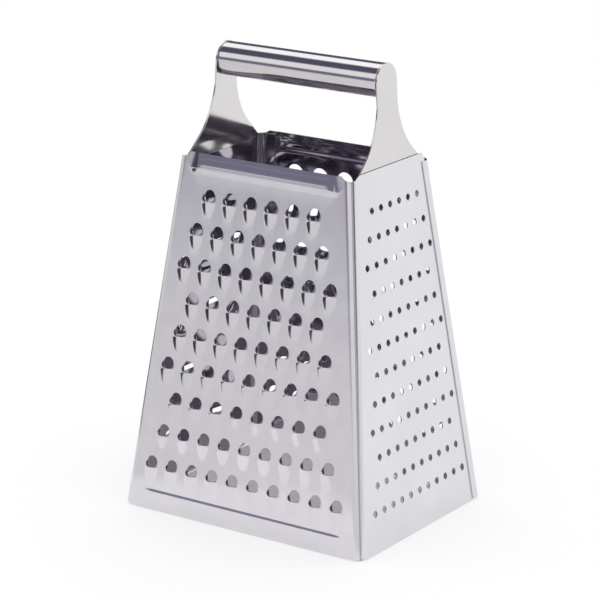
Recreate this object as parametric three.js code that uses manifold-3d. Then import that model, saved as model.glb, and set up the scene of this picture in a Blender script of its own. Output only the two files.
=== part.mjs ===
// A four-sided box grater: four pressed sheet panels lapped at the corners, two bracket plates and a
// tube handle.
// Millimetres, +Z up. The origin is on the table, under the middle of the body.
// The coarse face looks along -Y.
import * as THREE from 'three';
import { mergeVertices } from 'three/addons/utils/BufferGeometryUtils.js';
import Module from 'manifold-3d';

const wasm = await Module();
wasm.setup();

// Body: outer sizes at the bottom and at the rim
const BASE_WIDTH = 125.8;
const BASE_DEPTH = 97.7;
const RIM_WIDTH = 88.6;
const RIM_DEPTH = 59.8;
const RIM_HEIGHT = 159;
const BACK_RIM_HEIGHT = 156.4;

// Sheet and corner laps
const SHEET = 0.5;
const LAP_GAP = 0.3;
const CORNER_RADIUS = 4.5;
const SHORT_WRAP_ANGLE = 46;
const LONG_WRAP = 7;
const SIDE_FLANGE = 4.5;
const NOTCH_RADIUS = 7;
const FRONT_LEFT_NOTCH = 2.8;
const FRONT_RIGHT_NOTCH = 2;
const BACK_LEFT_NOTCH = 1.4;
const BACK_RIGHT_NOTCH = 1;

// Coarse teeth of the front panel
const FRONT_HOLE = 5.3;
const FRONT_PITCH = 10.74;
const FRONT_ROWS = 9;
const FRONT_FIRST_COUNT = 6;
const FRONT_FIRST_DROP = 17.5;
const FRONT_ROW_PITCH = 15;
const FRONT_SCOOP_TAIL = 6.6;
const FRONT_SCOOP_RISE = 1.5;

// Extra coarse teeth of the back panel
const BACK_HOLE = 8;
const BACK_PITCH = 13.1;
const BACK_ROWS = 8;
const BACK_FIRST_COUNT = 5;
const BACK_FIRST_DROP = 17.8;
const BACK_ROW_PITCH = 15.8;
const BACK_SCOOP_TAIL = 7;
const BACK_SCOOP_RISE = 2.2;

// Fine teeth of the right panel
const FINE_HOLE = 3.1;
const FINE_PITCH = 7.04;
const FINE_ROWS = 12;
const FINE_FIRST_COUNT = 6;
const FINE_FIRST_DROP = 16.2;
const FINE_ROW_PITCH = 11.42;
const FINE_SCOOP_TAIL = 2.6;
const FINE_SCOOP_RISE = 0.8;

// Slicing slots of the left panel
const SLOT_COUNT = 5;
const SLOT_LENGTH = 44;
const SLOT_HEIGHT = 4;
const SLOT_FIRST_DROP = 22;
const SLOT_PITCH = 28;
const SLOT_LIP_TAIL = 8;
const SLOT_LIP_RISE = 2;

// Stiffening beads of the front and back panels
const BEAD_HEIGHT = 7.5;
const BEAD_RISE = 0.6;
const BEAD_END_MARGIN = 7.5;
const BAND_HEIGHT = 8.6;
const BAND_RISE = 0.6;
const BAND_END_MARGIN = 12;

// Bracket plates and tube handle
const BRACKET_SHEET = 1;
const BRACKET_LAP = 5.5;
const BRACKET_FLARE_WIDTH = 45.2;
const BRACKET_FLARE_HEIGHT = 27;
const BRACKET_STEM_WIDTH = 15.6;
const BRACKET_LEAN = 0.05;
const TUBE_DIAMETER = 14.8;
const TUBE_WALL = 0.8;
const TUBE_HEIGHT = 194.2;
const PLUG_LENGTH = 10;
const PLUG_WALL = 0.8;

// How finely round forms are faceted
const CORNER_STEPS = 5;
const COARSE_SIDES = 8;
const FINE_SIDES = 6;
const ROUND_SIDES = 32;
const BEAD_SIDES = 8;
const BEAD_CAP_STEPS = 3;

// How far a cutter reaches past the sheet, and the depth to which a raised form is sunk into it
const CUT_REACH = 2;
const NOTCH_CUT_LENGTH = 6 * NOTCH_RADIUS;
const SINK = 0.3 * SHEET;
const SCOOP_SPREAD = 1.3;

const LEAN_ACROSS = (BASE_WIDTH - RIM_WIDTH) / 2 / RIM_HEIGHT;
const LEAN_FACE = (BASE_DEPTH - RIM_DEPTH) / 2 / RIM_HEIGHT;
const STEEL = { color: 0xc8c6cc, roughness: 0.3, metalness: 0.95 };
const BRIGHT_STEEL = { color: 0xd6d4d9, roughness: 0.25, metalness: 0.95 };
const POLISHED_STEEL = { color: 0xdedce0, roughness: 0.08, metalness: 1 };

// A panel is shaped in a frame of its own, with its outer face towards -Y, and turned into place afterwards.
const WIDE_FACE = { distance: BASE_DEPTH / 2, lean: LEAN_FACE, leanAcross: LEAN_ACROSS };
const SIDE_FACE = {
  distance: BASE_WIDTH / 2 - SHEET - LAP_GAP,
  lean: LEAN_ACROSS,
  leanAcross: LEAN_FACE,
};

function toSolid(geometry) {
  const bare = geometry.clone();
  bare.deleteAttribute('normal');
  bare.deleteAttribute('uv');
  const merged = mergeVertices(bare, 1e-4);
  return new wasm.Manifold(new wasm.Mesh({
    numProp: 3,
    vertProperties: new Float32Array(merged.attributes.position.array),
    triVerts: new Uint32Array(merged.index.array),
  }));
}

function toGeometry(solid) {
  const mesh = solid.getMesh();
  const geometry = new THREE.BufferGeometry();
  geometry.setAttribute('position', new THREE.BufferAttribute(mesh.vertProperties, 3));
  geometry.setIndex(new THREE.BufferAttribute(mesh.triVerts, 1));
  geometry.computeVertexNormals();
  return geometry;
}

function reshape(geometry, change) {
  const position = geometry.attributes.position;
  const point = new THREE.Vector3();
  for (let i = 0; i < position.count; i += 1) {
    change(point.fromBufferAttribute(position, i));
    position.setXYZ(i, point.x, point.y, point.z);
  }
  return geometry;
}

// Frame on a leaning face: x across, y up the face, z out of it
function faceMatrix(face, across, height) {
  const tilt = Math.atan(face.lean);
  const right = new THREE.Vector3(1, 0, 0);
  const up = new THREE.Vector3(0, Math.sin(tilt), Math.cos(tilt));
  const out = new THREE.Vector3(0, -Math.cos(tilt), Math.sin(tilt));
  const matrix = new THREE.Matrix4().makeBasis(right, up, out);
  return matrix.setPosition(across, face.lean * height - face.distance, height);
}

// Plan outline of one end of a panel, from the flat round the corner, for the outer or the inner skin
function endPoints(face, end, inset) {
  if (!end.radius) {
    return [new THREE.Vector2(end.reach, inset - face.distance)];
  }
  const centre = new THREE.Vector2(end.reach - end.radius, end.radius - face.distance);
  const radius = end.radius - inset;
  const points = [];
  for (let i = 0; i <= CORNER_STEPS; i += 1) {
    const angle = THREE.MathUtils.degToRad(end.angle) * i / CORNER_STEPS;
    points.push(new THREE.Vector2(centre.x + radius * Math.sin(angle), centre.y - radius * Math.cos(angle)));
  }
  if (end.flange) {
    points.push(new THREE.Vector2(centre.x + radius, centre.y + end.flange));
  }
  return points;
}

function panelShell(face, leftEnd, rightEnd, height) {
  const mirrored = (points) => points.map((p) => new THREE.Vector2(-p.x, p.y)).reverse();
  const skin = (inset) => [
    ...mirrored(endPoints(face, leftEnd, inset)), ...endPoints(face, rightEnd, inset),
  ];
  const outline = new THREE.Shape([...skin(0), ...skin(SHEET).reverse()]);
  const geometry = new THREE.ExtrudeGeometry(outline, { depth: height, steps: 1, bevelEnabled: false });
  return toSolid(reshape(geometry, (p) => {
    p.x -= Math.sign(p.x) * face.leanAcross * p.z;
    p.y += face.lean * p.z;
  }));
}

// Round notch in a corner's top edge, cut along the diagonal. Past the corner the edge runs level.
function cornerNotch(face, side, reach, bottom) {
  const height = bottom + NOTCH_RADIUS;
  const across = side * (reach - face.leanAcross * height);
  const depth = face.lean * height - face.distance;
  const dip = new THREE.CylinderGeometry(NOTCH_RADIUS, NOTCH_RADIUS, NOTCH_CUT_LENGTH, ROUND_SIDES);
  dip.rotateZ(side * Math.PI / 4).translate(across, depth, height);
  const level = new THREE.BoxGeometry(2 * NOTCH_RADIUS, NOTCH_CUT_LENGTH, 2 * NOTCH_RADIUS);
  level.translate(across, depth + CORNER_RADIUS + NOTCH_CUT_LENGTH / 2, height);
  return toSolid(dip).add(toSolid(level));
}

// Reshapes a ball-like form about a hole: its outer half stands proud of the face, its inner half is sunk
// in the sheet, and the half below the hole is drawn out into a tail.
function raisedForm(geometry, rise, sink, tail, head) {
  return reshape(geometry, (p) => {
    p.z = p.z > 0 ? p.z * (rise + SINK) : p.z * sink;
    p.z -= SINK;
    p.y *= p.y > 0 ? head : tail;
  });
}

function scoop(halfWidth, rise, sink, tail, head) {
  const ridge = new THREE.OctahedronGeometry(1).scale(halfWidth, 1, 1);
  return raisedForm(ridge, rise, sink, tail, head);
}

function bead(length, height, rise, sink) {
  const straight = (length - height) / (height / 2);
  const capsule = new THREE.CapsuleGeometry(1, straight, BEAD_CAP_STEPS, BEAD_SIDES).rotateZ(Math.PI / 2);
  return raisedForm(capsule.scale(height / 2, 1, 1), rise, sink, height / 2, height / 2);
}

function rowCount(firstCount, row) {
  return firstCount + (row % 3) + Math.floor(row / 3);
}

function toothPlaces(teeth, rim) {
  const places = [];
  for (let row = 0; row < teeth.rows; row += 1) {
    const count = rowCount(teeth.firstCount, row);
    for (let i = 0; i < count; i += 1) {
      const across = (i - (count - 1) / 2) * teeth.pitch;
      places.push({ across, height: rim - teeth.firstDrop - row * teeth.rowPitch });
    }
  }
  return places;
}

function cutRound(diameter, reach, sides) {
  const length = reach + CUT_REACH;
  const geometry = new THREE.CylinderGeometry(diameter / 2, diameter / 2, length, sides);
  geometry.rotateY(Math.PI / sides).rotateX(Math.PI / 2);
  return geometry.translate(0, 0, (reach - CUT_REACH) / 2);
}

// Adds a scoop under each hole and cuts the hole through it, so that the cut leaves a raised lip
function addTeeth(solid, face, teeth, rim) {
  const radius = teeth.hole / 2;
  const raised = scoop(radius * SCOOP_SPREAD, teeth.rise, SINK, radius + teeth.tail, radius / 2);
  const cutter = cutRound(teeth.hole, teeth.rise + CUT_REACH, teeth.sides);
  const places = toothPlaces(teeth, rim).map((p) => faceMatrix(face, p.across, p.height));
  let result = solid;
  for (const place of places) {
    result = result.add(toSolid(raised.clone().applyMatrix4(place)));
  }
  for (const place of places) {
    result = result.subtract(toSolid(cutter.clone().applyMatrix4(place)));
  }
  return result;
}

function addBead(solid, face, height, size) {
  const place = faceMatrix(face, 0, height);
  const outer = bead(size.length, size.height, size.rise, SINK).applyMatrix4(place);
  const inner = bead(size.length - 2 * SHEET, size.height - 2 * SHEET, size.rise - SHEET, SHEET + CUT_REACH);
  return solid.add(toSolid(outer)).subtract(toSolid(inner.applyMatrix4(place)));
}

// Front and back are the same pressing with different teeth, a long wrap at one corner and a short one at
// the other
function widePanel(teeth, rim, longNotch, shortNotch) {
  const reach = BASE_WIDTH / 2;
  const longEnd = { reach, radius: CORNER_RADIUS, angle: 90, flange: LONG_WRAP - CORNER_RADIUS };
  const shortEnd = { reach, radius: CORNER_RADIUS, angle: SHORT_WRAP_ANGLE, flange: 0 };
  let solid = panelShell(WIDE_FACE, longEnd, shortEnd, rim);
  const topBead = {
    length: RIM_WIDTH - 2 * BEAD_END_MARGIN, height: BEAD_HEIGHT, rise: BEAD_RISE,
  };
  const bottomBand = {
    length: BASE_WIDTH - 2 * BAND_END_MARGIN, height: BAND_HEIGHT, rise: BAND_RISE,
  };
  solid = addBead(solid, WIDE_FACE, rim - BEAD_HEIGHT / 2 - BEAD_RISE / 2, topBead);
  solid = addBead(solid, WIDE_FACE, BAND_HEIGHT / 2 + BAND_RISE / 2, bottomBand);
  solid = addTeeth(solid, WIDE_FACE, teeth, rim);
  return solid
    .subtract(cornerNotch(WIDE_FACE, -1, reach, rim - longNotch))
    .subtract(cornerNotch(WIDE_FACE, 1, reach, rim - shortNotch));
}

// A side panel has a flange tucked behind one wide panel and a plain edge under the long wrap of the other.
// Its notches are given by the heights of their lowest points.
function sideShell(flangeNotch, plainNotch) {
  const flangeEnd = {
    reach: BASE_DEPTH / 2 - SHEET - LAP_GAP,
    radius: CORNER_RADIUS - SHEET - LAP_GAP,
    angle: 90,
    flange: SIDE_FLANGE,
  };
  const plainEnd = { reach: BASE_DEPTH / 2 - CORNER_RADIUS };
  const corner = BASE_DEPTH / 2;
  return panelShell(SIDE_FACE, flangeEnd, plainEnd, RIM_HEIGHT)
    .subtract(cornerNotch(SIDE_FACE, -1, corner, flangeNotch))
    .subtract(cornerNotch(SIDE_FACE, 1, corner, plainNotch));
}

function slotOutline(length, height) {
  const straight = (length - height) / 2;
  const outline = new THREE.Shape();
  outline.absarc(straight, 0, height / 2, -Math.PI / 2, Math.PI / 2);
  outline.absarc(-straight, 0, height / 2, Math.PI / 2, 3 * Math.PI / 2);
  return outline;
}

function addSlots(solid, face) {
  const lipHead = SLOT_HEIGHT / 4;
  const lipForm = (length, rise, sink, tail) => {
    const capsule = new THREE.CapsuleGeometry(1, length - 2, BEAD_CAP_STEPS, BEAD_SIDES);
    return raisedForm(capsule.rotateZ(Math.PI / 2), rise, sink, tail, lipHead);
  };
  const lip = lipForm(SLOT_LENGTH, SLOT_LIP_RISE, SINK, SLOT_LIP_TAIL);
  const hollow = lipForm(
    SLOT_LENGTH - 2 * SHEET, SLOT_LIP_RISE - SHEET, SHEET + CUT_REACH, SLOT_LIP_TAIL - 2 * SHEET,
  );
  const opening = new THREE.ExtrudeGeometry(slotOutline(SLOT_LENGTH, SLOT_HEIGHT), {
    depth: SLOT_LIP_RISE + 2 * CUT_REACH, bevelEnabled: false, curveSegments: BEAD_SIDES,
  }).translate(0, 0, -CUT_REACH);
  let result = solid;
  for (let i = 0; i < SLOT_COUNT; i += 1) {
    const place = faceMatrix(face, 0, RIM_HEIGHT - SLOT_FIRST_DROP - i * SLOT_PITCH);
    result = result
      .add(toSolid(lip.clone().applyMatrix4(place)))
      .subtract(toSolid(hollow.clone().applyMatrix4(place)))
      .subtract(toSolid(opening.clone().applyMatrix4(place)));
  }
  return result;
}

// Bracket plate behind the side panel's top edge: a root parallel to the panel, bent more upright at the rim
// into a flared ear with a round end about the tube's axis
function bracketGeometry() {
  const tilt = Math.atan(SIDE_FACE.lean);
  const bend = Math.tan(tilt - Math.atan(BRACKET_LEAN));
  const climb = Math.cos(tilt) + bend * Math.sin(tilt);
  const flare = BRACKET_FLARE_WIDTH / 2;
  const stem = BRACKET_STEM_WIDTH / 2;
  const flareTop = BRACKET_FLARE_HEIGHT / climb;
  const axis = (TUBE_HEIGHT - RIM_HEIGHT) / climb;
  const root = new THREE.Shape();
  root.moveTo(-flare, -BRACKET_LAP).lineTo(flare, -BRACKET_LAP).lineTo(flare, 0).lineTo(-flare, 0);
  const ear = new THREE.Shape();
  ear.moveTo(-flare, 0);
  ear.lineTo(flare, 0);
  ear.quadraticCurveTo(stem, flareTop / 2, stem, flareTop);
  ear.lineTo(stem, axis);
  ear.absarc(0, axis, stem, 0, Math.PI);
  ear.lineTo(-stem, flareTop);
  ear.quadraticCurveTo(-stem, flareTop / 2, -flare, 0);
  const [rootPlate, earPlate] = [root, ear].map((outline) => new THREE.ExtrudeGeometry(outline, {
    depth: BRACKET_SHEET, bevelEnabled: false, curveSegments: BEAD_SIDES,
  }));
  reshape(earPlate, (p) => {
    p.z += bend * p.y;
  });
  const geometry = toGeometry(toSolid(rootPlate).add(toSolid(earPlate)));
  geometry.translate(0, 0, -SHEET - LAP_GAP - BRACKET_SHEET);
  return geometry.applyMatrix4(faceMatrix(SIDE_FACE, 0, RIM_HEIGHT));
}

// Distance from the middle to the ear's inner face, less the gap, at a height
function bracketInside(height) {
  const depth = SHEET + LAP_GAP + BRACKET_SHEET + LAP_GAP;
  return SIDE_FACE.distance - SIDE_FACE.lean * RIM_HEIGHT - depth - BRACKET_LEAN * (height - RIM_HEIGHT);
}

// Square-cut tube: its ends meet the leaning brackets at the top
function tubeGeometry() {
  const outer = TUBE_DIAMETER / 2;
  const inner = outer - TUBE_WALL;
  const half = bracketInside(TUBE_HEIGHT + outer);
  const profile = [[inner, -half], [outer, -half], [outer, half], [inner, half], [inner, -half]];
  const points = profile.map(([x, y]) => new THREE.Vector2(x, y));
  return new THREE.LatheGeometry(points, ROUND_SIDES).rotateZ(-Math.PI / 2).translate(0, 0, TUBE_HEIGHT);
}

// Pressed cup inside the tube's end, its floor flat against the leaning bracket
function plugGeometry() {
  const outer = TUBE_DIAMETER / 2 - TUBE_WALL - LAP_GAP;
  const inner = outer - PLUG_WALL;
  const floor = bracketInside(TUBE_HEIGHT);
  const mouth = floor - PLUG_LENGTH;
  const profile = [[0, floor], [outer, floor], [outer, mouth], [inner, mouth], [inner, floor - PLUG_WALL]];
  const points = profile.map(([x, y]) => new THREE.Vector2(x, y));
  points.push(new THREE.Vector2(0, floor - PLUG_WALL));
  const cup = new THREE.LatheGeometry(points.reverse(), ROUND_SIDES).rotateZ(-Math.PI / 2);
  reshape(cup, (p) => {
    p.x -= p.x > mouth + PLUG_WALL ? BRACKET_LEAN * p.z : 0;
  });
  return cup.translate(0, 0, TUBE_HEIGHT);
}

const frontTeeth = {
  hole: FRONT_HOLE, pitch: FRONT_PITCH, rows: FRONT_ROWS, firstCount: FRONT_FIRST_COUNT,
  firstDrop: FRONT_FIRST_DROP, rowPitch: FRONT_ROW_PITCH, tail: FRONT_SCOOP_TAIL, rise: FRONT_SCOOP_RISE,
  sides: COARSE_SIDES,
};
const backTeeth = {
  hole: BACK_HOLE, pitch: BACK_PITCH, rows: BACK_ROWS, firstCount: BACK_FIRST_COUNT,
  firstDrop: BACK_FIRST_DROP, rowPitch: BACK_ROW_PITCH, tail: BACK_SCOOP_TAIL, rise: BACK_SCOOP_RISE,
  sides: COARSE_SIDES,
};
const fineTeeth = {
  hole: FINE_HOLE, pitch: FINE_PITCH, rows: FINE_ROWS, firstCount: FINE_FIRST_COUNT,
  firstDrop: FINE_FIRST_DROP, rowPitch: FINE_ROW_PITCH, tail: FINE_SCOOP_TAIL, rise: FINE_SCOOP_RISE,
  sides: FINE_SIDES,
};

const grater = new THREE.Group();

function addPiece(name, geometry, finish, turn) {
  const mesh = new THREE.Mesh(geometry, new THREE.MeshStandardMaterial(finish));
  mesh.name = name;
  mesh.rotation.z = turn;
  grater.add(mesh);
}

const QUARTER = Math.PI / 2;
const rightShell = sideShell(RIM_HEIGHT - FRONT_RIGHT_NOTCH, BACK_RIM_HEIGHT - BACK_RIGHT_NOTCH);
const leftShell = sideShell(BACK_RIM_HEIGHT - BACK_LEFT_NOTCH, RIM_HEIGHT - FRONT_LEFT_NOTCH);
const frontSolid = widePanel(frontTeeth, RIM_HEIGHT, FRONT_LEFT_NOTCH, FRONT_RIGHT_NOTCH);
const backSolid = widePanel(backTeeth, BACK_RIM_HEIGHT, BACK_RIGHT_NOTCH, BACK_LEFT_NOTCH);
const rightSolid = addTeeth(rightShell, SIDE_FACE, fineTeeth, RIM_HEIGHT);
const leftSolid = addSlots(leftShell, SIDE_FACE);

addPiece('front_panel', toGeometry(frontSolid), STEEL, 0);
addPiece('back_panel', toGeometry(backSolid), STEEL, Math.PI);
addPiece('right_panel', toGeometry(rightSolid), BRIGHT_STEEL, QUARTER);
addPiece('left_panel', toGeometry(leftSolid), BRIGHT_STEEL, -QUARTER);
addPiece('right_bracket', bracketGeometry(), BRIGHT_STEEL, QUARTER);
addPiece('left_bracket', bracketGeometry(), BRIGHT_STEEL, -QUARTER);
addPiece('handle_tube', tubeGeometry(), POLISHED_STEEL, 0);
addPiece('right_tube_plug', plugGeometry(), STEEL, 0);
addPiece('left_tube_plug', plugGeometry(), STEEL, Math.PI);

export default grater;
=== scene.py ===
# A four-sided box grater of pressed steel sheet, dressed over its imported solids.
import math

import bmesh
import bpy
from mathutils import Matrix, Vector


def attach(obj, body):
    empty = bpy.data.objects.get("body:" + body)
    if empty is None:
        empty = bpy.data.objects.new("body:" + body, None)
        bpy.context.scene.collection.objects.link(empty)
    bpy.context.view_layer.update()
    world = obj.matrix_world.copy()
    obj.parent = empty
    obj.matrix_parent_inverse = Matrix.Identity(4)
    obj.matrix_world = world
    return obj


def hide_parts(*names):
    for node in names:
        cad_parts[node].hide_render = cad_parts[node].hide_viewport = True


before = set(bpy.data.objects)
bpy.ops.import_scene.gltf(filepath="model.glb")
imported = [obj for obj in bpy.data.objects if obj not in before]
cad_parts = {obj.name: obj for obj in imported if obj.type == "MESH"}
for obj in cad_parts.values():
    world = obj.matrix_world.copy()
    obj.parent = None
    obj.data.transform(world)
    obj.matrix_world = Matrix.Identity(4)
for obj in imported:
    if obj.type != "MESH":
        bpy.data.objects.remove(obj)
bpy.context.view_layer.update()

# Sizes of the body in millimetres. Its outer sizes are the solids', with a thinner sheet and closer laps.
MM = 0.001
BASE_WIDTH = 125.8
BASE_DEPTH = 97.7
RIM_WIDTH = 88.6
RIM_DEPTH = 59.8
RIM_HEIGHT = 159.0
BACK_RIM_HEIGHT = 156.4
SHEET = 0.45
LAP_GAP = 0.06
CORNER_RADIUS = 4.5
SHORT_WRAP = math.radians(46)
QUARTER_TURN = math.pi / 2
LONG_WRAP = 7.0
SIDE_FLANGE = 4.5
NOTCH_RADIUS = 6.0
FRONT_LEFT_NOTCH = 2.3
FRONT_WRAP_FALL = 2.4
FRONT_RIGHT_NOTCH = 2.0
BACK_LEFT_NOTCH = 1.4
BACK_RIGHT_NOTCH = 1.0
LEFT_PANEL_NOTCH = 4.7
LEFT_PANEL_NOTCH_RADIUS = 10.0
CORNER_LIFT = 0.9
BEND_STEPS = 10
BEND_MARGIN = 0.3
NOTCH_STEPS = 14
SHARP_FOLD = math.radians(40)
SHARP_EDGE = 1.0
# Material slot of the darkened steel that paints shade
PAINTED_SHADE_SLOT = 1
# Width of the painted seam shade along a short wrap's edge
SEAM_SHADE_WIDTH = 0.9
NEAR = 0.001

LEAN_ACROSS = (BASE_WIDTH - RIM_WIDTH) / 2 / RIM_HEIGHT
LEAN_FACE = (BASE_DEPTH - RIM_DEPTH) / 2 / RIM_HEIGHT

WIDE_FACE = {"distance": BASE_DEPTH / 2, "lean": LEAN_FACE, "lean_across": LEAN_ACROSS}
SIDE_FACE = {
    "distance": BASE_WIDTH / 2 - SHEET - LAP_GAP,
    "lean": LEAN_ACROSS,
    "lean_across": LEAN_FACE,
}

# Teeth: hole size, spacing, and the scoop pressed out under each hole
TOOTH_RINGS = (0.03, 0.07, 0.12, 0.18, 0.25, 0.33, 0.42, 0.52, 0.63, 0.75, 0.88, 1.0)
COARSE = {
    "hole": 5.3, "pitch": 10.74, "rows": 9, "first": 6, "drop": 17.5, "row_pitch": 15.0,
    "tail": 6.8, "rise": 0.95, "wide": 3.4, "wide_left": 4.4, "crest": -1.5, "margin": 0.4, "points": 32,
    "rings": TOOTH_RINGS,
}
EXTRA_COARSE = {
    "hole": 8.0, "pitch": 13.1, "rows": 8, "first": 5, "drop": 17.8, "row_pitch": 15.8,
    "tail": 7.0, "rise": 1.4, "wide": 4.8, "wide_left": 5.0, "crest": -2.0, "margin": 0.5, "points": 36,
    "rings": TOOTH_RINGS,
}
FINE = {
    "hole": 3.1, "pitch": 7.04, "rows": 12, "first": 6, "drop": 16.2, "row_pitch": 11.42,
    "tail": 4.0, "rise": 0.5, "wide": 2.0, "wide_left": 2.4, "crest": -1.1, "margin": 0.3, "points": 14,
    "rings": (0.3, 0.7, 1.0),
}
ROUND_CREST = 0.2
LIP_START = 0.2
LIP_LEAST = 0.45
TAIL_LEAST = 0.1
LEFT_TAPER = 0.6
RIGHT_TAPER = 0.35
SLOT_RINGS = (0.06, 0.16, 0.3, 0.46, 0.62, 0.78, 0.9, 1.0)
WELD_RINGS = (0.4, 0.55, 0.7, 0.85, 1.0)


def eased(value, low, high):
    share = min(1.0, max(0.0, (value - low) / (high - low)))
    return share * share * (3 - 2 * share)


def tapered(least, share, power):
    return least + (1 - least) * share ** power


def squared_off(value, power):
    """A signed power under 1, which squares a round outline off."""
    return math.copysign(abs(value) ** power, value)


# Pressed forms, in the flat sheet: x across, y up the sheet, z out of it

def pressed_opening(bm, hole, edge, rings, height):
    """Rings of faces from a hole's edge out to its footprint on the sheet, raised by a height."""
    circle = bmesh.ops.create_circle(bm, cap_ends=False, segments=len(hole), radius=1)
    row = circle["verts"]
    made = list(row)
    for vert, (x, y) in zip(row, hole):
        vert.co = (x, y, 0)
    for share in rings:
        around = {e for v in row for e in v.link_edges if all(w in row for w in e.verts)}
        out = bmesh.ops.extrude_edge_only(bm, edges=list(around))
        fresh = {g for g in out["geom"] if isinstance(g, bmesh.types.BMVert)}
        row = [next(e.other_vert(v) for e in v.link_edges if e.other_vert(v) in fresh) for v in row]
        for vert, inner, outer in zip(row, hole, edge):
            vert.co = Vector(inner).lerp(Vector(outer), share).to_3d()
        made += row
    for vert in row:
        for rim in vert.link_edges:
            rim.seam = all(v in row for v in rim.verts)
    for vert in made:
        vert.co.z = height(vert.co.x, vert.co.y)
    return made


def place_copies(bm, verts, places):
    """Copies a pressed form to each place on the sheet; the first one moves there itself."""
    geom = set(verts)
    for vert in verts:
        geom.update(vert.link_edges)
        geom.update(vert.link_faces)
    geom = list(geom)
    for x, y in places[1:]:
        copy = bmesh.ops.duplicate(bm, geom=geom)
        moved = [g for g in copy["geom"] if isinstance(g, bmesh.types.BMVert)]
        bmesh.ops.translate(bm, verts=moved, vec=(x, y, 0))
    bmesh.ops.translate(bm, verts=verts, vec=(*places[0], 0))


def tooth_places(teeth, rim):
    """Rows in threes, each row a hole longer; every three start a hole longer than the three before."""
    places = []
    for row in range(teeth["rows"]):
        count = teeth["first"] + row % 3 + row // 3
        for i in range(count):
            across = (i - (count - 1) / 2) * teeth["pitch"]
            places.append((across, rim - teeth["drop"] - row * teeth["row_pitch"]))
    return places


def scoop_height(teeth):
    """A ridge that starts beside the hole: steep at its left, gentle at its right, and running down."""
    radius = teeth["hole"] / 2
    crest = teeth["crest"]

    def height(x, y):
        beside = y > -radius
        if beside:
            along = min(1.0, max(0.0, (LIP_START * radius - y) / ((1 + LIP_START) * radius)))
        else:
            along = max(0.0, 1 + (y + radius) / teeth["tail"])
        if x < crest:
            taper = tapered(LIP_LEAST, along, 1) if beside else tapered(TAIL_LEAST, along, LEFT_TAPER)
            reach = (teeth["wide_left"] + crest) * taper
        else:
            taper = 1 if beside else tapered(TAIL_LEAST, along, RIGHT_TAPER)
            reach = (teeth["wide"] - crest) * taper
        roof = 1 - math.hypot((x - crest) / reach, ROUND_CREST)
        return teeth["rise"] * along * max(0.0, roof) / (1 - ROUND_CREST)

    return height


def add_teeth(bm, teeth, rim):
    """Rows of round holes, each with its scoop."""
    across_power = 0.6
    down_power = 0.85
    radius = teeth["hole"] / 2
    top = radius + teeth["margin"]
    low = radius + teeth["tail"] + teeth["margin"]
    hole = []
    edge = []
    for i in range(teeth["points"]):
        angle = 2 * math.pi * i / teeth["points"]
        across = math.cos(angle)
        up = math.sin(angle)
        wide = teeth["margin"] + (teeth["wide"] if across > 0 else teeth["wide_left"])
        hole.append((radius * across, radius * up))
        if up >= 0:
            edge.append((wide * across, top * up))
        else:
            edge.append((wide * squared_off(across, across_power), low * squared_off(up, down_power)))
    verts = pressed_opening(bm, hole, edge, teeth["rings"], scoop_height(teeth))
    place_copies(bm, verts, tooth_places(teeth, rim))


def add_slots(bm, rim):
    """Wide slicing slots, each with a raised blade along its lower edge."""
    count = 5
    drop = 22.0
    pitch = 28.0
    half = 22.0
    open_half = 2.0
    tail = 8.0
    rise = 2.0
    fade = (half - 7.0, half + 1.6)
    margin_above = 1.6
    margin_below = 1.2
    margin_beside = 2.2
    across_power = 0.35
    up_power = 0.8
    tail_power = 1.1
    points = 72
    hole = []
    edge = []
    for i in range(points):
        angle = 2 * math.pi * i / points
        x = squared_off(math.cos(angle), across_power)
        y = squared_off(math.sin(angle), up_power)
        low = open_half + (margin_above if y >= 0 else tail + margin_below)
        hole.append((half * x, open_half * y))
        edge.append(((half + margin_beside) * x, low * y))

    def height(x, y):
        if y > -open_half:
            along = eased(-y, -open_half, open_half)
        else:
            along = max(0.0, 1 - (-y - open_half) / tail) ** tail_power
        return rise * along * (1 - eased(abs(x), *fade))

    verts = pressed_opening(bm, hole, edge, SLOT_RINGS, height)
    place_copies(bm, verts, [(0, rim - drop - pitch * i) for i in range(count)])


def add_patch(bm, half_width, low, high, columns, rows, height):
    """A rectangle of the sheet, meshed finely and raised by a height."""
    grid = bmesh.ops.create_grid(bm, x_segments=columns, y_segments=rows, size=1)
    bmesh.ops.scale(bm, verts=grid["verts"], vec=(half_width, (high - low) / 2, 1))
    bmesh.ops.translate(bm, verts=grid["verts"], vec=(0, (low + high) / 2, 0))
    for vert in grid["verts"]:
        vert.co.z = height(vert.co.x, vert.co.y)
        for rim in vert.link_edges:
            rim.seam = rim.is_boundary
    return grid["verts"]


def add_top_bead(bm, rim):
    """The stiffening bead: a rippled strip under the rim that leans back above a flat crest.

    The right and left ends of its top edge are handed back, because the outline starts and ends there.
    """
    half = 37.6
    end_length = 3.0
    drop_crest = 4.9
    drop_foot = 6.4
    drop_low = 9.2
    rim_rise = 0.35
    crest = 0.78
    ripple = 0.01
    wave = 3.0
    small_wave = 5.4
    small_share = 0.6
    end_slant = 1.3
    end_drop = 2.0

    def height(x, y):
        drop = rim - y
        calm = eased(half - abs(x), end_length, 2 * end_length)
        share = min(1.0, drop / (drop_crest + end_drop * (1 - calm)))
        ends = eased(half - end_slant * (1 - share) - abs(x), 0, end_length)
        strip = rim_rise + (crest - rim_rise) * share
        if share < 1:
            waves = math.sin(wave * drop) + small_share * math.sin(small_wave * drop + 1)
            strip += calm * ripple * waves
        return strip * ends * (1 - eased(drop, drop_foot, drop_low))

    verts = add_patch(bm, half, rim - drop_low, rim, columns=76, rows=62, height=height)
    on_rim = sorted((v for v in verts if abs(v.co.y - rim) < NEAR), key=lambda v: v.co.x)
    for edge in {e for v in on_rim for e in v.link_edges}:
        if all(v in on_rim for v in edge.verts):
            edge.seam = False
    return on_rim[-1], on_rim[0]


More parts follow.
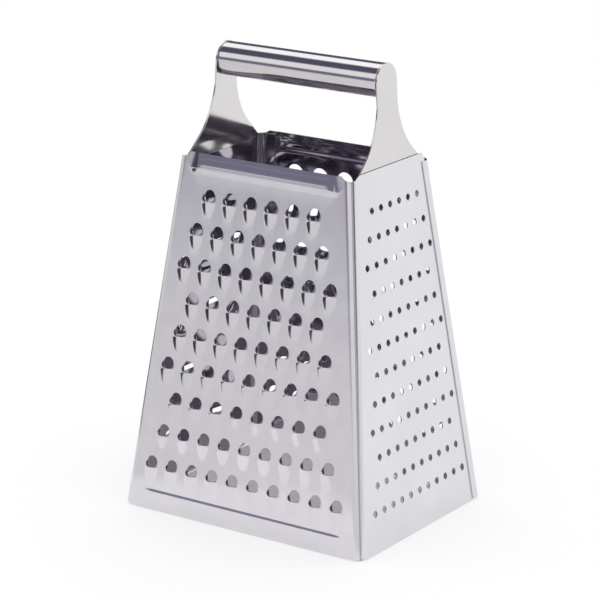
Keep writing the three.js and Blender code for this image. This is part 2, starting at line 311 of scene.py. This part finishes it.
def add_bottom_band(bm):
    """The raised band along the bottom edge, with a soft step above and below."""
    low = 1.8
    high = 9.8
    half = 52.5
    rise = 0.2
    end_margin = 0.6
    end_length = 4.0
    low_step = (low + 0.2, low + 1.8)
    high_step = (high - 1.7, high - 0.4)

    def height(x, y):
        ends = eased(half - end_margin - abs(x), 0, end_length)
        return rise * ends * eased(y, *low_step) * (1 - eased(y, *high_step))

    add_patch(bm, half, low, high, columns=48, rows=46, height=height)


def add_welds(bm, places):
    """Small shallow marks of a spot welder."""
    points = 10
    pit = 0.12
    radius = 1.1
    depth = 0.05
    slope = (0.45, 0.95)
    angles = [2 * math.pi * i / points for i in range(points)]
    round_edge = [(math.cos(angle), math.sin(angle)) for angle in angles]
    hole = [(pit * x, pit * y) for x, y in round_edge]
    edge = [(radius * x, radius * y) for x, y in round_edge]

    def height(x, y):
        return -depth * (1 - eased(math.hypot(x, y), *slope))

    verts = pressed_opening(bm, hole, edge, WELD_RINGS, height)
    middle = [e for v in verts[:points] for e in v.link_edges if e.is_boundary]
    bmesh.ops.contextual_create(bm, geom=list(set(middle)))
    place_copies(bm, verts, places)


# Blanks: the flat sheet with its outline, filled between the pressed forms, then bent into place

def bent_end(reach, radius, angle, flange):
    return {"start": reach - radius, "radius": radius, "angle": angle, "length": radius * angle + flange}


def plain_end(reach):
    return {"start": reach, "radius": 0, "angle": 0, "length": 0}


def end_outline(face, end, rim, notch_low, notch_at, radius, fall):
    """One end of a blank: from the rim into the corner notch, on to the edge, and down to the table."""
    def edge_at(y):
        return end["start"] + end["length"] - face["lean_across"] * y

    middle = notch_low + radius
    across = notch_at - face["lean_across"] * middle
    dip = math.asin((middle - rim) / radius)
    points = []
    for i in range(NOTCH_STEPS + 1):
        angle = math.pi + dip + (QUARTER_TURN - dip) * i / NOTCH_STEPS
        x = across + radius * math.cos(angle)
        y = middle + radius * math.sin(angle)
        if x > edge_at(y):
            points.append((edge_at(y), y))
            break
        points.append((x, y))
    else:
        points.append((edge_at(notch_low - fall), notch_low - fall))
    if end["radius"]:
        part_lift = 0.6 * CORNER_LIFT
        points.append((edge_at(CORNER_LIFT), CORNER_LIFT))
        points.append((end["start"] + CORNER_RADIUS / 2, CORNER_LIFT))
        points.append((end["start"], part_lift))
        points.append((end["start"] - CORNER_RADIUS, 0))
    else:
        points.append((edge_at(0), 0))
    return points


def cut_across(bm, place, normal):
    """Cuts every face along a plane."""
    bmesh.ops.bisect_plane(
        bm, geom=bm.verts[:] + bm.edges[:] + bm.faces[:], dist=0.00001, plane_co=place, plane_no=normal
    )


def fill_blank(bm, around, rim_corners):
    """Joins the outline's points and fills the sheet between the outline and the pressed forms."""
    verts = [bm.verts.new((x, y, 0)) for x, y in around]
    chain = [rim_corners[0], *verts, rim_corners[1]] if rim_corners else verts + verts[:1]
    for a, b in zip(chain, chain[1:]):
        bm.edges.new((a, b)).seam = True
    outline = [e for e in bm.edges if e.seam]
    bmesh.ops.triangle_fill(bm, use_beauty=True, edges=outline, normal=(0, 0, 1))
    bmesh.ops.recalc_face_normals(bm, faces=bm.faces)
    if sum(f.normal.z * f.calc_area() for f in bm.faces) < 0:
        bmesh.ops.reverse_faces(bm, faces=bm.faces)


def cut_bends(bm, face, left, right):
    """Cuts the blank into narrow strips where it will bend."""
    for side, end in ((-1, left), (1, right)):
        if end["radius"]:
            bend = end["radius"] * end["angle"]
            strips = [bend * i / BEND_STEPS for i in range(BEND_STEPS + 1)]
            for past in (-BEND_MARGIN, *strips, bend + BEND_MARGIN):
                cut_across(bm, (side * (end["start"] + past), 0, 0), (side, face["lean_across"], 0))


def paint_seam_shade(bm, face, left, right):
    """Gives the strip along a short wrap's edge the darkened steel: painted shade standing in for the
    shadow in the seam.
    """
    for cell in bm.faces:
        across, up, _ = cell.calc_center_median()
        end = right if across > 0 else left
        past = abs(across) - end["start"] + face["lean_across"] * up
        if end["angle"] == SHORT_WRAP and past > end["length"] - SEAM_SHADE_WIDTH:
            cell.material_index = PAINTED_SHADE_SLOT


def bend_blank(bm, face, left, right):
    """Rolls the blank's ends round the corners and leans the panel in towards the rim."""
    tilt = math.atan(face["lean"])
    for vert in bm.verts:
        across, up, out = vert.co
        end = right if across > 0 else left
        side = math.copysign(1, across)
        start = end["start"] - face["lean_across"] * up
        past = max(0.0, abs(across) - start) if end["radius"] else 0.0
        turn = min(past / end["radius"], end["angle"]) if past else 0.0
        beyond = past - turn * end["radius"]
        reach = abs(across) - past + end["radius"] * math.sin(turn) + beyond * math.cos(turn)
        inward = end["radius"] * (1 - math.cos(turn)) + beyond * math.sin(turn)
        vert.co.x = side * (reach + out * math.sin(turn))
        vert.co.y = face["lean"] * up - face["distance"] + inward - out * math.cos(turn) * math.cos(tilt)
        vert.co.z = up + out * math.cos(turn) * math.sin(tilt)


def thicken(bm):
    """Gives the sheet its thickness, inwards from its outer face."""
    bm.normal_update()
    inward = {tuple(vert.co): vert.normal * SHEET for vert in bm.verts}
    shell = bmesh.ops.solidify(bm, geom=bm.faces[:], thickness=0)
    for made in shell["geom"]:
        # The inner face and the cut edges get the darkened steel, painted shade for the shaded inside of
        # the box
        if isinstance(made, bmesh.types.BMFace):
            made.material_index = PAINTED_SHADE_SLOT
        elif isinstance(made, bmesh.types.BMVert):
            made.co -= inward[tuple(made.co)]


def sheet_panel(face, left, right, left_outline, right_outline, press):
    """Presses, fills and bends one panel. The blank's outer face looks along +Z until it is bent."""
    bm = bmesh.new()
    rim_corners = press(bm)
    fill_blank(bm, right_outline + [(-x, y) for x, y in reversed(left_outline)], rim_corners)
    cut_bends(bm, face, left, right)
    paint_seam_shade(bm, face, left, right)
    bend_blank(bm, face, left, right)
    thicken(bm)
    return bm


def wide_panel(teeth, rim, long_notch, short_notch, fall):
    """The front or back panel, with a long wrap round its left corner and a short one at its right."""
    reach = BASE_WIDTH / 2
    long_flange = LONG_WRAP - CORNER_RADIUS
    long_end = bent_end(reach, CORNER_RADIUS, QUARTER_TURN, long_flange)
    short_end = bent_end(reach, CORNER_RADIUS, SHORT_WRAP, 0)
    notch_at = reach - CORNER_RADIUS + CORNER_RADIUS * math.pi / 4
    left = end_outline(WIDE_FACE, long_end, rim, rim - long_notch, notch_at, NOTCH_RADIUS, fall)
    right = end_outline(WIDE_FACE, short_end, rim, rim - short_notch, notch_at, NOTCH_RADIUS, 0)
    weld_line = long_end["start"] + CORNER_RADIUS * QUARTER_TURN + long_flange / 2
    weld_low = 10
    weld_span = rim - 26
    weld_gaps = 4

    def press(bm):
        add_teeth(bm, teeth, rim)
        add_bottom_band(bm)
        heights = [weld_low + i * weld_span / weld_gaps for i in range(weld_gaps + 1)]
        add_welds(bm, [(WIDE_FACE["lean_across"] * y - weld_line, y) for y in heights])
        return add_top_bead(bm, rim)

    return sheet_panel(WIDE_FACE, long_end, short_end, left, right, press)


def side_panel(cut, flange_notch, plain_notch, notch_radius):
    """A side panel, with a flange behind the wide panel at its left and a plain edge at its right."""
    flange_end = bent_end(
        BASE_DEPTH / 2 - SHEET - LAP_GAP, CORNER_RADIUS - SHEET - LAP_GAP, QUARTER_TURN, SIDE_FLANGE
    )
    plain = plain_end(BASE_DEPTH / 2 - CORNER_RADIUS)
    notch_at = BASE_DEPTH / 2
    left = end_outline(SIDE_FACE, flange_end, RIM_HEIGHT, flange_notch, notch_at, notch_radius, 0)
    right = end_outline(SIDE_FACE, plain, RIM_HEIGHT, plain_notch, notch_at, notch_radius, 0)

    def press(bm):
        cut(bm)
        add_welds(bm, [(x, RIM_HEIGHT - BRACKET_WELD_DROP) for x in BRACKET_WELDS])

    return sheet_panel(SIDE_FACE, flange_end, plain, left, right, press)


# Bracket plates, tube and cups

BRACKET_SHEET = 0.75
BRACKET_SETBACK = 0.8
BRACKET_LAP = 5.5
BRACKET_WELD_DROP = 3.0
BRACKET_WELDS = (-12.0, 0.0, 12.0)
BRACKET_FOOT = 26.0
BRACKET_FOOT_HEIGHT = -3.1
BRACKET_FLARE_HEIGHT = 27.0
BRACKET_STEM = 7.7
BRACKET_LEAN = 0.05
BRACKET_BEND = math.atan(LEAN_ACROSS) - math.atan(BRACKET_LEAN)
TUBE_RADIUS = 7.4
TUBE_WALL = 0.8
TUBE_HEIGHT = 194.2
TUBE_GAP = 0.1
CUP_LENGTH = 10.0
CUP_WALL = 0.8


def bracket_inside(height):
    """From the middle to the ear's inner face, less the gap."""
    depth = BRACKET_SETBACK + BRACKET_SHEET + TUBE_GAP
    return SIDE_FACE["distance"] - LEAN_ACROSS * RIM_HEIGHT - depth - BRACKET_LEAN * (height - RIM_HEIGHT)


def bracket_plate():
    """A flared plate with a round top, bent at the rim so that its ear stands steeper than the panel."""
    bm = bmesh.new()
    corner = BRACKET_FLARE_HEIGHT / 2
    top = TUBE_HEIGHT - RIM_HEIGHT + BRACKET_STEM
    half = [
        (BRACKET_FOOT, -BRACKET_LAP), (BRACKET_FOOT, BRACKET_FOOT_HEIGHT),
        (BRACKET_STEM, corner), (BRACKET_STEM, top),
    ]
    around = half + [(-x, y) for x, y in reversed(half)]
    verts = [bm.verts.new((x, y, 0)) for x, y in around]
    bm.faces.new(verts)
    waist = [v for v in verts if abs(v.co.y - corner) < NEAR]
    crown = [v for v in verts if abs(v.co.y - top) < NEAR]
    foot = [v for v in verts if abs(v.co.y + BRACKET_LAP) < NEAR]
    waist_round = corner - 0.1
    crown_round = BRACKET_STEM - 0.02
    foot_round = 2.0
    for group, size, steps in ((waist, waist_round, 16), (crown, crown_round, 20), (foot, foot_round, 6)):
        bmesh.ops.bevel(
            bm, geom=group, offset=size, offset_type="OFFSET", segments=steps, profile=0.5,
            affect="VERTICES", material=-1,
        )
    out = bmesh.ops.extrude_face_region(bm, geom=bm.faces[:])
    front = [g for g in out["geom"] if isinstance(g, bmesh.types.BMVert)]
    bmesh.ops.translate(bm, verts=front, vec=(0, 0, BRACKET_SHEET))
    bmesh.ops.recalc_face_normals(bm, faces=bm.faces)
    arris = [e for e in bm.edges if e.calc_face_angle(0) > SHARP_EDGE]
    bmesh.ops.bevel(
        bm, geom=arris, offset=0.18, offset_type="OFFSET", segments=2, profile=0.5,
        affect="EDGES", material=-1,
    )
    broad = [f for f in bm.faces if abs(f.normal.z) > 0.999]
    bmesh.ops.inset_individual(bm, faces=broad, thickness=0.1, use_even_offset=True)
    bmesh.ops.translate(bm, verts=bm.verts, vec=(0, 0, -BRACKET_SETBACK - BRACKET_SHEET))
    bend_cuts = (-0.9, -0.5, 0.5, 0.9)
    bend_lines = (0.5, -0.5)
    for line in bend_cuts:
        cut_across(bm, (0, line, 0), (0, 1, 0))
    for line in bend_lines:
        above = [v for v in bm.verts if v.co.y > line + NEAR]
        turn = Matrix.Rotation(BRACKET_BEND / 2, 3, "X")
        bmesh.ops.rotate(bm, cent=(0, line, 0), matrix=turn, verts=above)
    tilt = math.atan(LEAN_ACROSS)
    stand = Matrix.Rotation(QUARTER_TURN - tilt, 4, "X")
    bmesh.ops.transform(bm, matrix=stand, verts=bm.verts)
    foot_place = (0, LEAN_ACROSS * RIM_HEIGHT - SIDE_FACE["distance"], RIM_HEIGHT)
    bmesh.ops.translate(bm, verts=bm.verts, vec=foot_place)
    return bm


def turned(profile, steps, rounded):
    """Turns a profile of (along, radius) points about the tube's axis and rounds its sharp rings."""
    bm = bmesh.new()
    verts = [bm.verts.new((x, 0, r)) for x, r in profile]
    pairs = zip(verts, verts[1:] + verts[:1])
    edges = [bm.edges.new(pair) for pair in pairs if pair[0].co.z + pair[1].co.z > 0]
    bmesh.ops.spin(
        bm, geom=verts + edges, cent=(0, 0, 0), axis=(1, 0, 0), angle=2 * math.pi, steps=steps,
        use_merge=True,
    )
    bmesh.ops.remove_doubles(bm, verts=bm.verts, dist=0.0001)
    bmesh.ops.recalc_face_normals(bm, faces=bm.faces)
    rings = [e for e in bm.edges if e.calc_face_angle(0) > SHARP_EDGE]
    bmesh.ops.bevel(
        bm, geom=rings, offset=rounded, offset_type="OFFSET", segments=3, profile=0.5,
        affect="EDGES", material=-1,
    )
    return bm


def handle_tube():
    """The round tube, which ends just short of the brackets' ears."""
    half = bracket_inside(TUBE_HEIGHT + TUBE_RADIUS)
    inner = TUBE_RADIUS - TUBE_WALL
    profile = [(-half, inner), (-half, TUBE_RADIUS), (half, TUBE_RADIUS), (half, inner)]
    bm = turned(profile, steps=96, rounded=0.25)
    end_ring = 0.6
    for line in (end_ring - half, half - end_ring):
        cut_across(bm, (line, 0, 0), (1, 0, 0))
    bmesh.ops.translate(bm, verts=bm.verts, vec=(0, 0, TUBE_HEIGHT))
    return bm


def tube_cup():
    """The pressed cup inside the tube's right end, with its floor along the bracket's ear."""
    outer = TUBE_RADIUS - TUBE_WALL - TUBE_GAP
    inner = outer - CUP_WALL
    floor = bracket_inside(TUBE_HEIGHT)
    mouth = floor - CUP_LENGTH
    inside = floor - CUP_WALL
    profile = [(floor, 0), (floor, outer), (mouth, outer), (mouth, inner), (inside, inner), (inside, 0)]
    bm = turned(profile, steps=48, rounded=0.3)
    for vert in bm.verts:
        if vert.co.x > mouth + CUP_WALL:
            vert.co.x -= BRACKET_LEAN * vert.co.z
    bmesh.ops.translate(bm, verts=bm.verts, vec=(0, 0, TUBE_HEIGHT))
    return bm


# Finishes

def steel(name, tints, roughness, grain, grain_depth, blotch):
    """Bright steel with a fine grain, faint cloudy tints and patchy gloss."""
    material = bpy.data.materials.new(name)
    material.use_nodes = True
    nodes = material.node_tree.nodes
    link = material.node_tree.links.new
    shader = nodes["Principled BSDF"]
    shader.inputs["Metallic"].default_value = 1.0
    place = nodes.new("ShaderNodeTexCoord")

    clouds = nodes.new("ShaderNodeTexNoise")
    clouds.inputs["Scale"].default_value = blotch
    clouds.inputs["Detail"].default_value = 4.0
    link(place.outputs["Object"], clouds.inputs["Vector"])
    tint = nodes.new("ShaderNodeValToRGB")
    for stop, (at, colour) in zip(tint.color_ramp.elements, zip((0.3, 0.7), tints)):
        stop.position = at
        stop.color = (*colour, 1)
    link(clouds.outputs["Fac"], tint.inputs["Fac"])
    link(tint.outputs["Color"], shader.inputs["Base Color"])

    stretch = nodes.new("ShaderNodeMapping")
    stretch.inputs["Scale"].default_value = grain
    link(place.outputs["Object"], stretch.inputs["Vector"])
    lines = nodes.new("ShaderNodeTexNoise")
    lines.inputs["Scale"].default_value = 1.0
    lines.inputs["Detail"].default_value = 6.0
    lines.inputs["Roughness"].default_value = 0.65
    link(stretch.outputs["Vector"], lines.inputs["Vector"])
    gloss = nodes.new("ShaderNodeMapRange")
    gloss.inputs["From Min"].default_value = 0.3
    gloss.inputs["From Max"].default_value = 0.7
    gloss.inputs["To Min"].default_value = roughness[0]
    gloss.inputs["To Max"].default_value = roughness[1]
    link(lines.outputs["Fac"], gloss.inputs["Value"])
    link(gloss.outputs["Result"], shader.inputs["Roughness"])

    scratch = nodes.new("ShaderNodeBump")
    scratch.inputs["Strength"].default_value = 0.12
    scratch.inputs["Distance"].default_value = grain_depth
    link(lines.outputs["Fac"], scratch.inputs["Height"])
    link(scratch.outputs["Normal"], shader.inputs["Normal"])
    return material


UPRIGHT_GRAIN = (2600, 2600, 90)
WIDE_STEEL = steel(
    "satin_wide_panel_steel", tints=((0.683, 0.663, 0.705), (0.723, 0.702, 0.74)), roughness=(0.11, 0.15),
    grain=UPRIGHT_GRAIN, grain_depth=0.00002, blotch=140,
)
SIDE_STEEL = steel(
    "satin_side_panel_steel", tints=((0.7, 0.69, 0.725), (0.745, 0.735, 0.76)), roughness=(0.15, 0.2),
    grain=UPRIGHT_GRAIN, grain_depth=0.00002, blotch=30,
)
# Darker steel for the inner faces, the cut edges and the seam strip: painted shade, as the inside of the
# box lies in shade
PAINTED_SHADE_STEEL = steel(
    "inner_steel_painted_shade", tints=((0.39, 0.37, 0.42), (0.44, 0.42, 0.47)), roughness=(0.06, 0.09),
    grain=UPRIGHT_GRAIN, grain_depth=0.000004, blotch=40,
)
BRACKET_STEEL = steel(
    "bright_bracket_steel", tints=((0.665, 0.645, 0.65), (0.69, 0.67, 0.675)), roughness=(0.1, 0.13),
    grain=(1800, 120, 1800), grain_depth=0.000008, blotch=40,
)
TUBE_STEEL = steel(
    "polished_tube_steel", tints=((0.69, 0.665, 0.69), (0.72, 0.695, 0.715)), roughness=(0.09, 0.12),
    grain=(60, 1500, 1500), grain_depth=0.000003, blotch=50,
)
CUP_STEEL = steel(
    "plain_cup_steel", tints=((0.58, 0.57, 0.58), (0.66, 0.65, 0.66)), roughness=(0.3, 0.42),
    grain=(900, 900, 900), grain_depth=0.00003, blotch=90,
)


def finish_piece(name, bm, turn, materials, node):
    """Turns a piece into place, writes its mesh in metres and hangs it on the frame."""
    bmesh.ops.rotate(bm, cent=(0, 0, 0), matrix=Matrix.Rotation(turn, 3, "Z"), verts=bm.verts)
    bmesh.ops.scale(bm, verts=bm.verts, vec=(MM, MM, MM))
    mesh = bpy.data.meshes.new(name)
    bm.to_mesh(mesh)
    bm.free()
    mesh.shade_smooth()
    mesh.set_sharp_from_angle(angle=SHARP_FOLD)
    for material in materials:
        mesh.materials.append(material)
    piece = bpy.data.objects.new(name, mesh)
    bpy.context.scene.collection.objects.link(piece)
    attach(piece, "root")
    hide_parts(node)


def press_fine(bm):
    add_teeth(bm, FINE, RIM_HEIGHT)


def press_slots(bm):
    add_slots(bm, RIM_HEIGHT)


front = wide_panel(COARSE, RIM_HEIGHT, FRONT_LEFT_NOTCH, FRONT_RIGHT_NOTCH, FRONT_WRAP_FALL)
back = wide_panel(EXTRA_COARSE, BACK_RIM_HEIGHT, BACK_RIGHT_NOTCH, BACK_LEFT_NOTCH, 0)
right = side_panel(
    press_fine, RIM_HEIGHT - FRONT_RIGHT_NOTCH, BACK_RIM_HEIGHT - BACK_RIGHT_NOTCH, NOTCH_RADIUS
)
left = side_panel(
    press_slots, BACK_RIM_HEIGHT - BACK_LEFT_NOTCH, RIM_HEIGHT - LEFT_PANEL_NOTCH, LEFT_PANEL_NOTCH_RADIUS
)
WIDE = (WIDE_STEEL, PAINTED_SHADE_STEEL)
SIDE = (SIDE_STEEL, PAINTED_SHADE_STEEL)
PLATE = (BRACKET_STEEL,)

finish_piece("pressed_front_panel", front, 0, WIDE, "front_panel")
finish_piece("pressed_back_panel", back, math.pi, WIDE, "back_panel")
finish_piece("pressed_right_panel", right, QUARTER_TURN, SIDE, "right_panel")
finish_piece("pressed_left_panel", left, -QUARTER_TURN, SIDE, "left_panel")
finish_piece("right_bracket_plate", bracket_plate(), QUARTER_TURN, PLATE, "right_bracket")
finish_piece("left_bracket_plate", bracket_plate(), -QUARTER_TURN, PLATE, "left_bracket")
finish_piece("polished_handle_tube", handle_tube(), 0, (TUBE_STEEL,), "handle_tube")
finish_piece("right_tube_cup", tube_cup(), 0, (CUP_STEEL,), "right_tube_plug")
finish_piece("left_tube_cup", tube_cup(), math.pi, (CUP_STEEL,), "left_tube_plug")

# Camera at the photograph's place
CAMERA_PLACE = Vector((0.65164, -0.96321, 0.44274))
CAMERA_TARGET = Vector((-0.002124, 0.0, 0.091693))
CAMERA_ROLL = math.radians(0.2)
CAMERA_LENS = 168.02
CAMERA_SENSOR = 36.0

camera_data = bpy.data.cameras.new("camera")
camera_data.lens = CAMERA_LENS
camera_data.sensor_width = CAMERA_SENSOR
camera_data.clip_start = 0.05
camera_data.clip_end = 50.0
camera = bpy.data.objects.new("camera", camera_data)
aim = (CAMERA_TARGET - CAMERA_PLACE).to_track_quat("-Z", "Y").to_matrix().to_4x4()
camera.matrix_world = Matrix.Translation(CAMERA_PLACE) @ aim @ Matrix.Rotation(CAMERA_ROLL, 4, "Z")
bpy.context.scene.collection.objects.link(camera)
bpy.context.scene.camera = camera

# Floor: white paper under the grater, dimmer paper in front and at the left as the grater's painted
# shadow, shaded inside the body's footprint
WHITE = (1, 1, 1, 1)
SHADED = (1, 0.9, 1, 1)
PAPER_STEP = 0.00005


def paper(name, glow, tint):
    material = bpy.data.materials.new(name)
    material.use_nodes = True
    shader = material.node_tree.nodes["Principled BSDF"]
    shader.inputs["Base Color"].default_value = (0.5, 0.5, 0.5, 1)
    shader.inputs["Roughness"].default_value = 0.9
    shader.inputs["Specular IOR Level"].default_value = 0.0
    shader.inputs["Emission Color"].default_value = tint
    shader.inputs["Emission Strength"].default_value = glow
    return material


def floor_sheet(name, corners, height, material):
    bm = bmesh.new()
    bm.faces.new([bm.verts.new((x, y, height)) for x, y in corners])
    mesh = bpy.data.meshes.new(name)
    bm.to_mesh(mesh)
    bm.free()
    mesh.materials.append(material)
    sheet = bpy.data.objects.new(name, mesh)
    bpy.context.scene.collection.objects.link(sheet)


FLOOR = ((-0.21, -0.9), (4.0, -0.9), (4.0, 5.0), (-0.21, 5.0))
FLOOR_INSIDE = ((-0.061, -0.047), (0.061, -0.047), (0.061, 0.047), (-0.061, 0.047))
FLOOR_IN_FRONT = ((-0.04, -0.9), (1.2, -0.9), (1.2, 0.67), (-0.04, -0.18))
FLOOR_AT_LEFT = ((-0.21, -0.9), (-0.04, -0.9), (-0.04, -0.18), (-0.21, 0.02))

floor_sheet("floor", FLOOR, -2 * PAPER_STEP, paper("white_paper", glow=0.53, tint=WHITE))
# The dimmer paper in front and at the left paints the shadow that the grater casts there
paper_painted_shadow = paper("paper_painted_shadow", glow=0.34, tint=WHITE)
floor_sheet("floor_in_front", FLOOR_IN_FRONT, -PAPER_STEP, paper_painted_shadow)
floor_sheet("floor_at_left", FLOOR_AT_LEFT, -PAPER_STEP, paper_painted_shadow)
floor_sheet("floor_inside", FLOOR_INSIDE, 0.0, paper("shaded_paper", glow=0.26, tint=SHADED))

# Light: an even white surround; reflections see a studio with dark flags in front, behind and at the sides
world = bpy.data.worlds.new("studio")
bpy.context.scene.world = world
world.use_nodes = True
sky = world.node_tree.nodes
sky_link = world.node_tree.links.new
background = sky["Background"]
direction = sky.new("ShaderNodeTexCoord")
parts = sky.new("ShaderNodeSeparateXYZ")
sky_link(direction.outputs["Generated"], parts.inputs["Vector"])


def share_of(socket, low, high):
    node = sky.new("ShaderNodeMapRange")
    node.interpolation_type = "SMOOTHSTEP"
    node.inputs["From Min"].default_value = low
    node.inputs["From Max"].default_value = high
    sky_link(socket, node.inputs["Value"])
    return node.outputs["Result"]


def arithmetic(operation, first, second):
    node = sky.new("ShaderNodeMath")
    node.operation = operation
    for value, socket in zip((first, second), node.inputs):
        if isinstance(value, float):
            socket.default_value = value
        else:
            sky_link(value, socket)
    return node.outputs["Value"]


def blend(share, first, second):
    node = sky.new("ShaderNodeMix")
    node.data_type = "RGBA"
    sky_link(share, node.inputs["Factor"])
    for value, socket in zip((first, second), node.inputs[6:8]):
        if isinstance(value, tuple):
            socket.default_value = value
        else:
            sky_link(value, socket)
    return node.outputs[2]


FLAG = (0.05, 0.045, 0.06, 1)
RIGHT_FLAG = (0.1, 0.1, 0.11, 1)
FRONT_RIGHT = (0.9, 0.88, 0.91, 1)
DARK_TINT = Vector((1.0, 0.93, 1.5))
NEUTRAL_LEVEL = 0.7
# Degrees round the X axis, from straight ahead of the front panel upwards, and the light's level there
STUDIO_BANDS = (
    (-180, 0.1), (-163, 0.1), (-153, 0.85), (-20, 0.84), (-8, 0.82), (-4, 0.62), (0, 0.2), (13, 0.2),
    (18, 0.98), (43, 1.0), (52, 0.1), (86, 0.1), (97, 1.3), (129, 1.3), (138, 0.1), (180, 0.1),
)
front_axis = arithmetic("MULTIPLY", parts.outputs["Y"], -1.0)
arc = arithmetic("ARCTAN2", parts.outputs["Z"], front_axis)
turn_share = arithmetic("MULTIPLY_ADD", arc, 0.5 / math.pi)
turn_share.node.inputs[2].default_value = 0.5
bands = sky.new("ShaderNodeValToRGB")
bands.color_ramp.interpolation = "EASE"
stops = bands.color_ramp.elements
while len(stops) < len(STUDIO_BANDS):
    stops.new(0.5)
for stop, (degrees, level) in zip(stops, STUDIO_BANDS):
    stop.position = (degrees + 180) / 360
    tint = DARK_TINT.lerp(Vector((1, 1, 1)), min(1.0, level / NEUTRAL_LEVEL))
    stop.color = (*(tint * level), 1)
sky_link(turn_share, bands.inputs["Fac"])
# Fields of the studio, by limits on the X, Y and Z of a reflection's direction
right_side = share_of(parts.outputs["X"], -0.12, 0.1)
low_left = arithmetic(
    "MULTIPLY", share_of(parts.outputs["X"], -0.55, -0.75), share_of(parts.outputs["Z"], -0.17, -0.21)
)
level_left = arithmetic(
    "MULTIPLY", share_of(parts.outputs["Z"], -0.07, -0.03), share_of(parts.outputs["Z"], 0.4, 0.25)
)
high_left = arithmetic("MULTIPLY", share_of(parts.outputs["X"], -0.66, -0.76), level_left)
right_flag = arithmetic(
    "MULTIPLY", share_of(parts.outputs["Y"], -0.56, -0.5), share_of(parts.outputs["Y"], -0.1, -0.22)
)
right_light = blend(share_of(parts.outputs["Y"], -0.5, -0.3), FRONT_RIGHT, WHITE)
right_light = blend(
    arithmetic("MULTIPLY", right_flag, share_of(parts.outputs["X"], 0.72, 0.82)), right_light, RIGHT_FLAG
)
studio = blend(right_side, bands.outputs["Color"], right_light)
studio = blend(arithmetic("MAXIMUM", low_left, high_left), studio, FLAG)
ray = sky.new("ShaderNodeLightPath")
sky_link(blend(ray.outputs["Is Glossy Ray"], WHITE, studio), background.inputs["Color"])

bpy.context.scene.view_settings.view_transform = "Standard"
